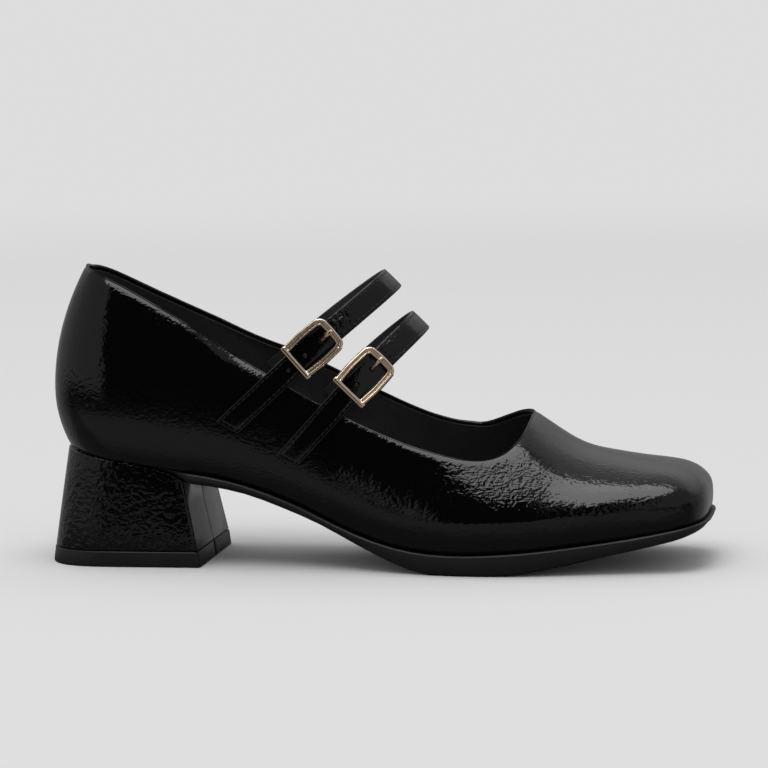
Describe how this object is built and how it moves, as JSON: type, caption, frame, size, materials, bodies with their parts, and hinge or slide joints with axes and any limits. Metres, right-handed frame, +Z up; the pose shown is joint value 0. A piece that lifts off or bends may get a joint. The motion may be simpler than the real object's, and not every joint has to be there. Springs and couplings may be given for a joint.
{
  "type": "mary jane shoe",
  "caption": "Right mary jane court shoe with a square toe, covered block heel and narrow buckled instep straps.",
  "frame": {"origin": "middle of the shoe's length and width, on the floor it stands on", "axes": "+X towards the toe, +Y towards the inner side of the foot, +Z up"},
  "size_m": [0.248, 0.0834, 0.1109],
  "materials": {
    "patent_leather": "black patent, finely crinkled, high gloss",
    "lining_leather": "black matte lining",
    "sole_rubber": "black satin",
    "pale_gold": "polished pale gold plate"
  },
  "bodies": {
    "root": {"upper": "patent_leather", "insole": "lining_leather", "outsole": "sole_rubber", "heel_block": "patent_leather", "heel_top_piece": "sole_rubber", "strap_rear": "patent_leather", "buckle_rear": "pale_gold", "prong_rear": "pale_gold", "strap_front": "patent_leather", "buckle_front": "pale_gold", "prong_front": "pale_gold"}
  },
  "joints": []
}
